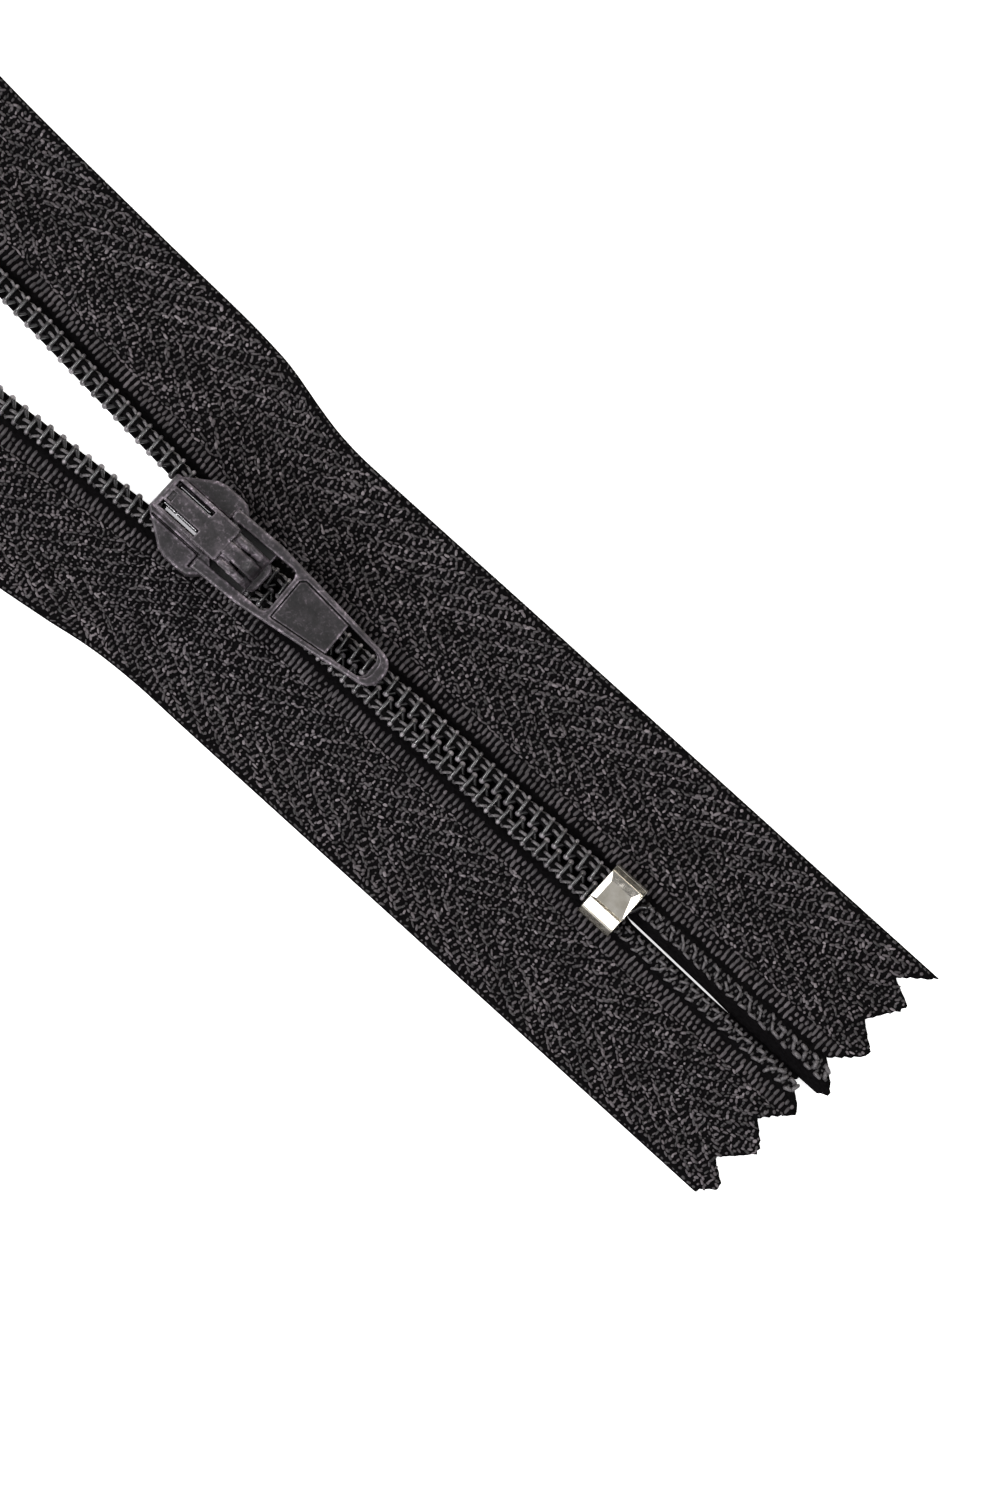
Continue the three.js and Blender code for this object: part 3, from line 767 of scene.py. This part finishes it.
class Field:
    """Signed distance to a solid on a grid, negative inside. Shapes are joined and cut, then skinned."""

    def __init__(self, low, high, cell):
        self.cell = cell
        self.low = np.array(low, float) - 3 * cell
        counts = np.ceil((np.array(high) - self.low) / cell).astype(int) + 4
        self.x, self.y, self.z = (
            (self.low[i] + np.arange(counts[i]) * cell).reshape([-1 if i == k else 1 for k in range(3)])
            for i in range(3))
        self.value = np.full(counts, 1e3, np.float32)

    def plate(self, corners, low, high, rounding=0.0):
        """An outline seen from above, solid from low to high."""
        return push(outline(self.x, self.y, corners), self.z, low, high, rounding)

    def profile(self, corners, low, high, rounding=0.0):
        """An outline seen from the side, solid from low to high across the slider."""
        return push(outline(self.x, self.z, corners), self.y, low, high, rounding)

    def join(self, shape, fillet=0.12):
        self.value = blended(self.value, shape, fillet)

    def cut(self, shape, rounding=0.08):
        self.value = -blended(-self.value, shape, rounding)

    def sample(self, points):
        """The field between the grid's points."""
        place = (points - self.low) / self.cell
        base = np.clip(np.floor(place).astype(int), 0, np.array(self.value.shape) - 2)
        share = place - base
        total = np.zeros(len(points))
        for corner in CORNERS:
            weight = np.prod(np.where(corner, share, 1 - share), axis=1)
            total += weight * self.value[tuple((base + corner).T)]
        return total

    def settle(self, points):
        """Moves points near the surface onto it, which keeps flat faces flat."""
        step = self.cell / 2
        for _ in range(2):
            slope = np.stack([
                (self.sample(points + step * axis) - self.sample(points - step * axis)) / (2 * step)
                for axis in np.eye(3)
            ], 1)
            move = self.sample(points)[:, None] * slope / np.maximum((slope ** 2).sum(1, keepdims=True), 0.3)
            points = points - np.clip(move, -step / 2, step / 2)
        return points

    def skin(self):
        """Surface nets: points, quads and how convex the surface is at each point."""
        value = self.value
        inside = value < 0
        size = [n - 1 for n in value.shape]
        count = np.zeros(size, np.int8)
        for i, j, k in CORNERS:
            count += inside[i:i + size[0], j:j + size[1], k:k + size[2]]
        cells = np.argwhere((count > 0) & (count < 8))
        number = np.full(size, -1)
        number[tuple(cells.T)] = np.arange(len(cells))
        at = {c: value[tuple((cells + c).T)] for c in CORNERS}
        total, crossings = np.zeros((len(cells), 3)), np.zeros(len(cells))
        for p in CORNERS:
            for axis in range(3):
                if p[axis]:
                    continue
                q = tuple(1 if i == axis else p[i] for i in range(3))
                crosses = (at[p] < 0) != (at[q] < 0)
                share = np.where(crosses, at[p] / np.where(crosses, at[p] - at[q], 1), 0)
                where = np.tile(np.array(p, float), (len(cells), 1))
                where[:, axis] = share
                total += where * crosses[:, None]
                crossings += crosses
        points = self.settle(self.low + (cells + total / crossings[:, None]) * self.cell)
        faces = []
        unit = np.eye(3, dtype=int)
        for axis in range(3):
            u, v = unit[(axis + 1) % 3], unit[(axis + 2) % 3]
            here = inside[tuple(slice(0, -1) if i == axis else slice(1, -1) for i in range(3))]
            ahead = inside[tuple(slice(1, None) if i == axis else slice(1, -1) for i in range(3))]
            edges = np.argwhere(here != ahead)
            outwards = here[tuple(edges.T)]
            edges = edges + [0 if i == axis else 1 for i in range(3)]
            ring = [number[tuple((edges - o).T)] for o in (0 * u, u, u + v, v)]
            quads = np.stack(ring, 1)
            faces.append(np.where(outwards[:, None], quads, quads[:, ::-1]))
        span = 2
        middle = np.clip(cells, span, np.array(value.shape) - span - 1)
        spread = -6 * value[tuple(middle.T)]
        for axis in range(3):
            for step in (-span, span):
                spread = spread + value[tuple((middle + step * unit[axis]).T)]
        convex = spread / (span * self.cell) ** 2
        return points, np.concatenate(faces), np.clip(0.5 + convex * 0.06, 0, 1)


def blended(a, b, radius):
    """The smaller of two distances, with the inner corner filled."""
    near = np.maximum(radius - np.abs(a - b), 0) / radius
    return np.minimum(a, b) - near * near * radius / 4


def outline(a, b, corners):
    """Signed distance in a plane to a closed outline."""
    a, b = np.broadcast_arrays(a, b)
    nearest, inside = np.full(a.shape, 1e3), np.zeros(a.shape, bool)
    for (a0, b0), (a1, b1) in zip(corners, corners[1:] + corners[:1]):
        run, rise = a1 - a0, b1 - b0
        share = np.clip(((a - a0) * run + (b - b0) * rise) / (run * run + rise * rise), 0, 1)
        nearest = np.minimum(nearest, np.hypot(a - a0 - share * run, b - b0 - share * rise))
        if rise:
            inside ^= ((b0 > b) != (b1 > b)) & (a < run * (b - b0) / rise + a0)
    return np.where(inside, -nearest, nearest).astype(np.float32)


def push(flat, along, low, high, rounding=0.0):
    """An outline's distance pushed along a third axis, with its edges rounded."""
    out = np.abs(along - (low + high) / 2) - (high - low) / 2 + rounding
    flat = flat + rounding
    outside = np.hypot(np.maximum(flat, 0), np.maximum(out, 0))
    return (np.minimum(np.maximum(flat, out), 0) + outside - rounding).astype(np.float32)


def both(points):
    """An outline that is the same on both sides of the axis."""
    return points + [(a, -b) for a, b in reversed(points)]


def block(f, low, high, rounding=0.0):
    """A box whose upper and lower edges are rounded."""
    box = [(low[0], low[1]), (high[0], low[1]), (high[0], high[1]), (low[0], high[1])]
    return f.plate(box, low[2], high[2], rounding)


def rod(f, start, end, radius):
    """A round bar with round ends."""
    start, end = np.array(start, float), np.array(end, float)
    run = end - start
    offsets = [axis - s for axis, s in zip((f.x, f.y, f.z), start)]
    share = np.clip(sum(o * r for o, r in zip(offsets, run)) / (run @ run), 0, 1)
    return (np.sqrt(sum((o - share * r) ** 2 for o, r in zip(offsets, run))) - radius).astype(np.float32)


# The slider's pieces are shaped with the nose of its body at x = 0
slider_low, slider_high = (np.array(c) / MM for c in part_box("slider_body"))
cap_low, cap_high = (np.array(c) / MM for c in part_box("slider_cap"))
slider_length = slider_high[0] - slider_low[0]
plate_top = cap_low[2] - 0.1
plate_under = plate_top - 0.65
lower_plate_top = slider_low[2] + 0.8


def wings(inset):
    """The slider's outline from above, with its sides moved in."""
    edge = [(0, 1.55), (-2.75, 3.5), (-3.6, 3.72), (-5, 3.73), (-5.75, 3.62), (-6.2, 3.25), (-6.6, 2.8),
            (-slider_length, 2.6)]
    return both([(x, y - inset) for x, y in edge])


def mirrored(side, near, far):
    """Two distances from the middle as places on one side of it, lower one first."""
    return sorted((side * near, side * far))


def slider_body():
    """Two plates joined by side walls, and the wedge that parts the coils."""
    f = Field((-slider_length - 0.6, -3.75, slider_low[2]), (0, 3.75, plate_top), cell=0.07)
    shape = outline(f.x, f.y, wings(0))
    f.join(push(shape, f.z, plate_under, plate_top, 0.2))
    f.join(push(shape, f.z, slider_low[2], lower_plate_top, 0.24))
    walls = push(shape, f.z, plate_under - 1.6, plate_under + 0.3, 0.1)
    inner = f.plate(wings(0.55), 0, plate_top)
    walls = np.maximum(np.maximum(walls, -inner), f.x + 2.6)
    f.join(np.maximum(walls, -block(f, (-11, -2, 0), (-9, 2, plate_top))), 0.15)
    wedge = both([(-0.3, 0.75), (-1, 0.7), (-4.4, 0.06)])
    f.join(f.plate(wedge, slider_low[2] + 0.2, plate_under + 0.2, 0.05), 0.2)
    f.cut(block(f, (-8.65, -0.65, plate_under - 1), (-7.75, 0.65, plate_top + 1)))
    for side in (1, -1):  # a step in the wing under the end of the pull's arm, and a crease beside the cap
        near, far = mirrored(side, 1.8, 3.02)
        f.cut(block(f, (-5.68, near, plate_top - 0.5), (-5.44, far, plate_top + 1)), 0.05)
        near, far = mirrored(side, 1.72, 1.9)
        f.cut(block(f, (-5.6, near, plate_top - 0.4), (-0.6, far, plate_top + 1)), 0.05)
    heel = both([(-9.2, 1.45), (-10.2, 1.4), (-10.55, 1.1), (-10.66, 0.6)])
    f.join(f.plate(heel, plate_under, plate_top - 0.1, 0.25), 0.1)
    points, faces, tones = f.skin()
    x, y, z = points.T
    # painted shade: the plate's top under the pull is darkened
    painted_shade_under_pull = (x < -5.7) & (np.abs(y) < 2.3) & (x > -10) & (z > plate_under)
    tones = np.where(painted_shade_under_pull, tones - 0.5, tones)
    return make("slider_casting", points + [front, 0, 0], faces, enamel, tones)


def slider_cap():
    """The bridge over the pull's crossbar, with two slots and two ridges down its rear."""
    low, top, shoulder = cap_low[2], cap_high[2], -6.95
    f = Field((-slider_length, -1.75, low), (-0.2, 1.75, top), cell=0.06)
    front_arc = [(-0.25, low), (-0.25, top - 0.95), (-0.33, top - 0.5), (-0.6, top - 0.18), (-1.0, top)]
    f.join(f.profile(front_arc + [(shoulder, top), (shoulder, low)], -1.75, 1.46, 0.14))
    bow = np.linspace(0, math.pi / 2, 16)[1:]
    rear_arc = [(-8.0, top)] + [(-8.0 - 2.1 * math.sin(a), top - 2.0 * (1 - math.cos(a))) for a in bow]
    f.join(f.profile(front_arc + rear_arc + [(-slider_length, low)], -1.55, 1.4, 0.1), 0.05)
    sunk = [(-7.0, top + 1), (-7.0, top - 0.38), (-8.2, top - 0.42), (-9.2, top - 1.05), (-10.4, top - 2.2),
            (-11, top + 1)]
    for side in (1, -1):
        f.cut(f.profile(sunk, *mirrored(side, 0.62, 2)), 0.25)
        ridge_y = side * 1.12
        f.join(rod(f, (-7.35, ridge_y, top - 0.5), (-8.35, ridge_y, top - 0.45), 0.34), 0.1)
        f.join(rod(f, (-8.35, ridge_y, top - 0.45), (-9.3, ridge_y, top - 1.0), 0.34), 0.15)
        near, far = (0.52, 1.12) if side > 0 else (-1.4, -0.9)
        f.cut(block(f, (-4.55, near, top - 1.2), (-0.85, far, top + 1), 0.05), 0.08)
    f.cut(block(f, (-1.42, -0.5, top - 0.22), (-1.0, 0.3, top + 1)), 0.04)
    f.cut(block(f, (-7.2, -1.25, low - 1), (-1, 1.25, top - 0.45)), 0.06)
    f.cut(block(f, (-8.75, -0.9, low - 1), (-7, 0.9, top - 0.45)), 0.06)
    f.cut(block(f, (-7, -4, low - 1), (-5.2, 4, pull_pivot[2] + 0.62), 0.2), 0.1)
    points, faces, tones = f.skin()
    # painted shade: the centre strip darkens towards its rear, where it curves down
    tones = tones - 0.24 * smooth((-8.2 - points[:, 0]) / 1.2) * (np.abs(points[:, 1]) < 0.75)
    return make("slider_crown", points + [front, 0, 0], faces, enamel, tones)


def lock_spring():
    """A bent leaf with the pawl at its rear, and the bars that show in the cap's slots."""
    leaf_z, low, pawl_low = pull_pivot[2] + 0.55, cap_low[2] + 0.05, 3.52
    leaf_top, bar_top, bar_half = leaf_z + 0.2, cap_high[2] - 0.3, 0.065
    f = Field((-8.4, -1.25, 3.5), (-1.0, 1.25, cap_high[2]), cell=0.04)
    f.join(block(f, (-6.8, -1.05, leaf_z), (-1.35, 1.05, leaf_top), 0.05))
    f.join(block(f, (-1.55, -1.05, low), (-1.35, 1.05, leaf_top), 0.05), 0.1)
    f.join(block(f, (-8.3, -0.4, leaf_z), (-6.6, 0.4, leaf_top), 0.05), 0.05)
    f.join(block(f, (-8.3, -0.4, pawl_low), (-8.0, 0.4, leaf_top), 0.05), 0.1)
    for y, start, end in ((-1.1, -1.2, -4.25), (0.64, -1.05, -2.2), (0.64, -2.4, -4.4)):
        f.join(block(f, (end, y - bar_half, leaf_z), (start, y + bar_half, bar_top), 0.05), 0.05)
    points, faces, tones = f.skin()
    return make("leaf_spring", points + [front, 0, 0], faces, steel, tones)


def pull_tab():
    """A frame with two windows, a sunk panel on both faces and its crossbar at 0."""
    half, tip = 0.45, -16.5  # half thickness, and the far end
    f = Field((tip, -3, -0.5), (0.6, 3, 0.5), cell=0.055)
    body = both([(0.5, 2.95), (-4.1, 2.87), (-6.9, 2.54), (-12.2, 1.93), (tip + 1.1, 1.52),
                 (tip + 0.55, 1.3), (tip + 0.15, 0.85), (tip, 0.35)])
    f.join(f.plate(body, -half, half, 0.2))
    window = both([(1.5, 2.02), (-5.75, 2.02), (-6.12, 1.88), (-6.3, 1.5)])
    f.cut(f.plate(window, -1, 1), 0.14)
    panel = [(-6.8, 1.97), (-11.95, 1.47), (-11.95, -1.47), (-7.2, -1.95), (-6.8, -1.6)]
    groove = np.abs(outline(f.x, f.y, panel)) - 0.05
    for face in (1, -1):
        f.cut(f.plate(panel, *mirrored(face, half - 0.13, 2)), 0.05)
        f.cut(push(groove, f.z, *mirrored(face, half - 0.26, 2)), 0.04)
    hole = both([(-11.92, 1.46), (-14.75, 1.18), (-15.1, 0.98), (-15.3, 0.6)])
    f.cut(f.plate(hole, -1, 1), 0.08)
    ledge = both([(-14.1, 1.24), (-15.05, 1.14), (-15.5, 0.85), (-15.65, 0.45)])
    f.cut(f.plate(ledge, half - 0.3, 2), 0.05)
    f.join(rod(f, (0, -2.4, 0), (0, 2.4, 0), 0.42), 0.15)
    boss = [(0.45, 1.5), (-0.3, 1.5), (-0.8, 2.05), (-0.8, 2.4), (0.45, 2.4)]
    f.join(f.plate(boss, -half + 0.05, half - 0.06, 0.1), 0.08)
    points, faces, tones = f.skin()
    x, y, z = points.T
    # painted shade: the sunk panel is darkened
    painted_shade_panel = (x < -6.85) & (x > -12) & (np.abs(y) < 1.95) & (z < half - 0.08)
    tones = np.where(painted_shade_panel, tones - 0.16, tones)
    droop, play = math.radians(-2.5), math.radians(0.8)  # the photo's pull is turned a little in its bearing
    yaw = math.atan2(-pull_axis[0], pull_axis[1]) + play
    turn = Matrix.Rotation(yaw, 3, "Z") @ Matrix.Rotation(droop, 3, "Y")
    return make("pull", points @ np.array(turn).T + pull_pivot, faces, enamel, tones)


def bottom_stop():
    """A pressed clamp over both coils, dished by four sloping facets."""
    half_length, half_width, low, top = 1.59, 2.46, stop_low[2], stop_high[2]
    f = Field((-half_length, -half_width, low), (half_length, half_width, top), cell=0.04)
    section = [(-half_width, low), (-half_width, top - 1.3), (-half_width + 0.12, top - 0.62),
               (-half_width + 0.3, top - 0.36), (-half_width + 0.75, top - 0.06), (-half_width + 0.9, top),
               (half_width - 1.5, top), (half_width - 0.62, top - 0.37), (half_width - 0.5, top - 0.5),
               (half_width - 0.05, top - 1.15), (half_width, top - 1.9), (half_width, low)]
    f.join(push(outline(f.y, f.z, section), f.x, -half_length, half_length, 0.07))
    wall, crown = 0.35, top - 0.45
    inner = [(-half_width + wall, low + wall), (-half_width + wall, top - 1.3), (-half_width + 1.0, crown),
             (half_width - 1.5, crown), (half_width - 0.75, top - 0.95), (half_width - wall, low + wall)]
    f.cut(push(outline(f.y, f.z, inner), f.x, -3, 3), 0.1)
    f.cut(block(f, (-3, -1.3, low - 1), (3, 1.3, low + 1), 0.1), 0.1)
    left, right = (1.62 - f.x) * 0.44, (f.x + 1.8) * 0.37 + (f.y + 0.44) * 0.13
    back, near = (f.y + 1.86) * 0.3, (0.98 - f.y) * 1.6
    deepest = 0.25
    depth = np.clip(np.minimum(np.minimum(left, right), np.minimum(back, near)), -1, deepest)
    f.value = np.maximum(f.value, ((f.z - top + depth) * 0.93).astype(np.float32))
    points, faces, tones = f.skin()
    return make("lower_stop", points + [stop_x, 0, 0], faces, nickel, tones)


def top_stop(name):
    """A clamp over one tape's inner edge, creased across its middle."""
    side = SIDES[name]
    start, length, near, far = top_x + 0.3, 3.18, 0.15, 2.6
    low, high = tape_lift - 0.45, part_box(f"{name}_top_stop")[1].z / MM
    end, middle, wall, play = start + length, start + length / 2, 0.35, 0.05
    f = Field((start, near, low), (end, far, high), cell=0.06)
    f.join(block(f, (start, near, low), (end, far, high), 0.32))
    face = tape_lift + tape_thick + play
    f.cut(block(f, (start - 1, near + wall, tape_lift - play), (end + 1, far - wall, face)), 0.05)
    f.cut(rod(f, (middle, near - 1, high + 0.35), (middle, far + 1, high + 0.35), 0.5), 0.2)
    points, faces, tones = f.skin()
    return lay(f"{name}_upper_stop", points, faces.tolist(), nickel, side, tones)


# --- Baking transforms ---

def bend(piece, half):
    """Bakes a piece's transform into its mesh, the same for both halves."""
    if half == "bottom":
        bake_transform(piece)
    else:
        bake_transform(piece)


for name, side in SIDES.items():
    for half, flat_length in (("bottom", 55.5), ("top", 86.0)):
        sheet = tape(name, half)
        floats = weave(name, half)
        bend(sheet, half)
        bend(floats, half)
        if half == "bottom":
            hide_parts(f"{name}_tape_end", f"{name}_tape_lower")
        else:
            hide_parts(f"{name}_tape_upper")

    split, last = loop_x(split_loop, side), loop_x(last_loop, side)
    for half, level, loops, cord_ends, stitches in (
        ("bottom", "lower", (first_loop, split_loop), (stop_x - 1.0, split), (1, split_loop)),
        ("top", "upper", (split_loop, last_loop), (split, last), (split_loop, last_loop)),
    ):
        pieces = {
            "coil": coil(name, level, *loops),
            "cord": core_cord(name, level, *cord_ends),
            "stitching": seam(name, level, *stitches),
        }
        for kind, piece in pieces.items():
            bend(piece, half)
            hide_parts(f"{name}_{kind}_{level}")
    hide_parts(f"{name}_coil_crossing")
    ends = end_seam(name)
    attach(ends, "base")
    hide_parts(f"{name}_stitching_end")
    clip = top_stop(name)
    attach(clip, f"upper_{name}")
    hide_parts(f"{name}_top_stop")

for piece, body, node, finish in (
    (slider_body(), "slider", "slider_body", "slider_paint"),
    (slider_cap(), "slider", "slider_cap", "slider_paint"),
    (lock_spring(), "lock_spring", "lock_spring", "spring_metal"),
    (pull_tab(), "pull_tab", "pull_tab", "slider_paint"),
    (bottom_stop(), "base", "bottom_stop", "stop_metal"),
):
    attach(piece, body)
    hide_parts(node)
